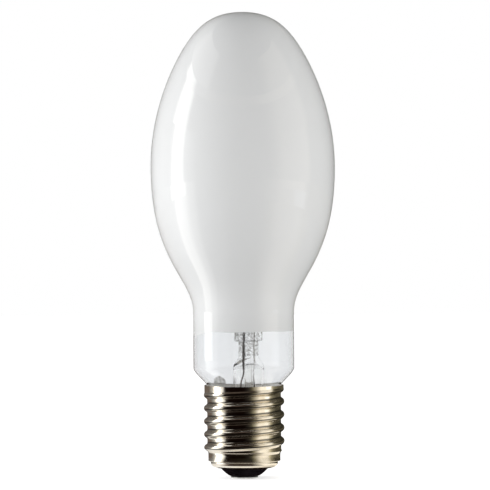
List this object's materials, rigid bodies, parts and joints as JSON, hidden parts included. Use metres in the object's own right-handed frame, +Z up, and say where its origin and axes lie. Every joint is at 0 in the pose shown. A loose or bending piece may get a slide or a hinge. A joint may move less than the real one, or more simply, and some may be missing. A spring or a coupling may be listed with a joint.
{
  "type": "high pressure sodium lamp",
  "caption": "Coated elliptical high pressure sodium lamp: white bulb with a clear neck band and visible stem, on a coarse threaded screw cap with a black glass insulator and centre contact.",
  "frame": {"origin": "middle of the underside of the centre contact, the lowest point of the lamp", "axes": "+Z up the lamp's axis from the contact to the top of the bulb; -Y is the side the picture shows; +X is to its right"},
  "size_m": [0.0892, 0.0892, 0.2256],
  "materials": {
    "outer_envelope": "clear polished",
    "diffusing_coating": "matte white powder layer",
    "stem_glass": "clear, crinkled in the press",
    "exhaust_tube": "clear",
    "oxidised_wire": "dark oxidised",
    "copper_wire": "bare copper",
    "cap_shell": "bright nickel plate",
    "cap_insulator": "glossy black moulded glass",
    "centre_contact": "satin tinned",
    "solder": "dull grey solder",
    "basing_cement": "matte buff",
    "alumina": "translucent sintered",
    "niobium": "satin",
    "tungsten": "dull",
    "frame_steel": "drawn wire and strip"
  },
  "bodies": {
    "root": {"outer_envelope": "outer_envelope", "diffusing_coating": "diffusing_coating", "stem_glass": "stem_glass", "exhaust_tube": "exhaust_tube", "front_seal_pin": "oxidised_wire", "back_seal_pin": "oxidised_wire", "shell_lead": "copper_wire", "contact_lead": "copper_wire", "cap_shell": "cap_shell", "cap_insulator": "cap_insulator", "centre_contact": "centre_contact", "contact_solder": "solder", "rim_solder": "solder", "basing_cement": "basing_cement", "arc_tube": "alumina", "lower_end_plug": "alumina", "upper_end_plug": "alumina", "lower_niobium_tube": "niobium", "upper_niobium_tube": "niobium", "lower_electrode": "tungsten", "upper_electrode": "tungsten", "frame_rod": "frame_steel", "lower_strap": "frame_steel", "upper_strap": "frame_steel", "dome_spring": "frame_steel", "getter_ring": "frame_steel", "getter_arm": "frame_steel"}
  },
  "joints": []
}
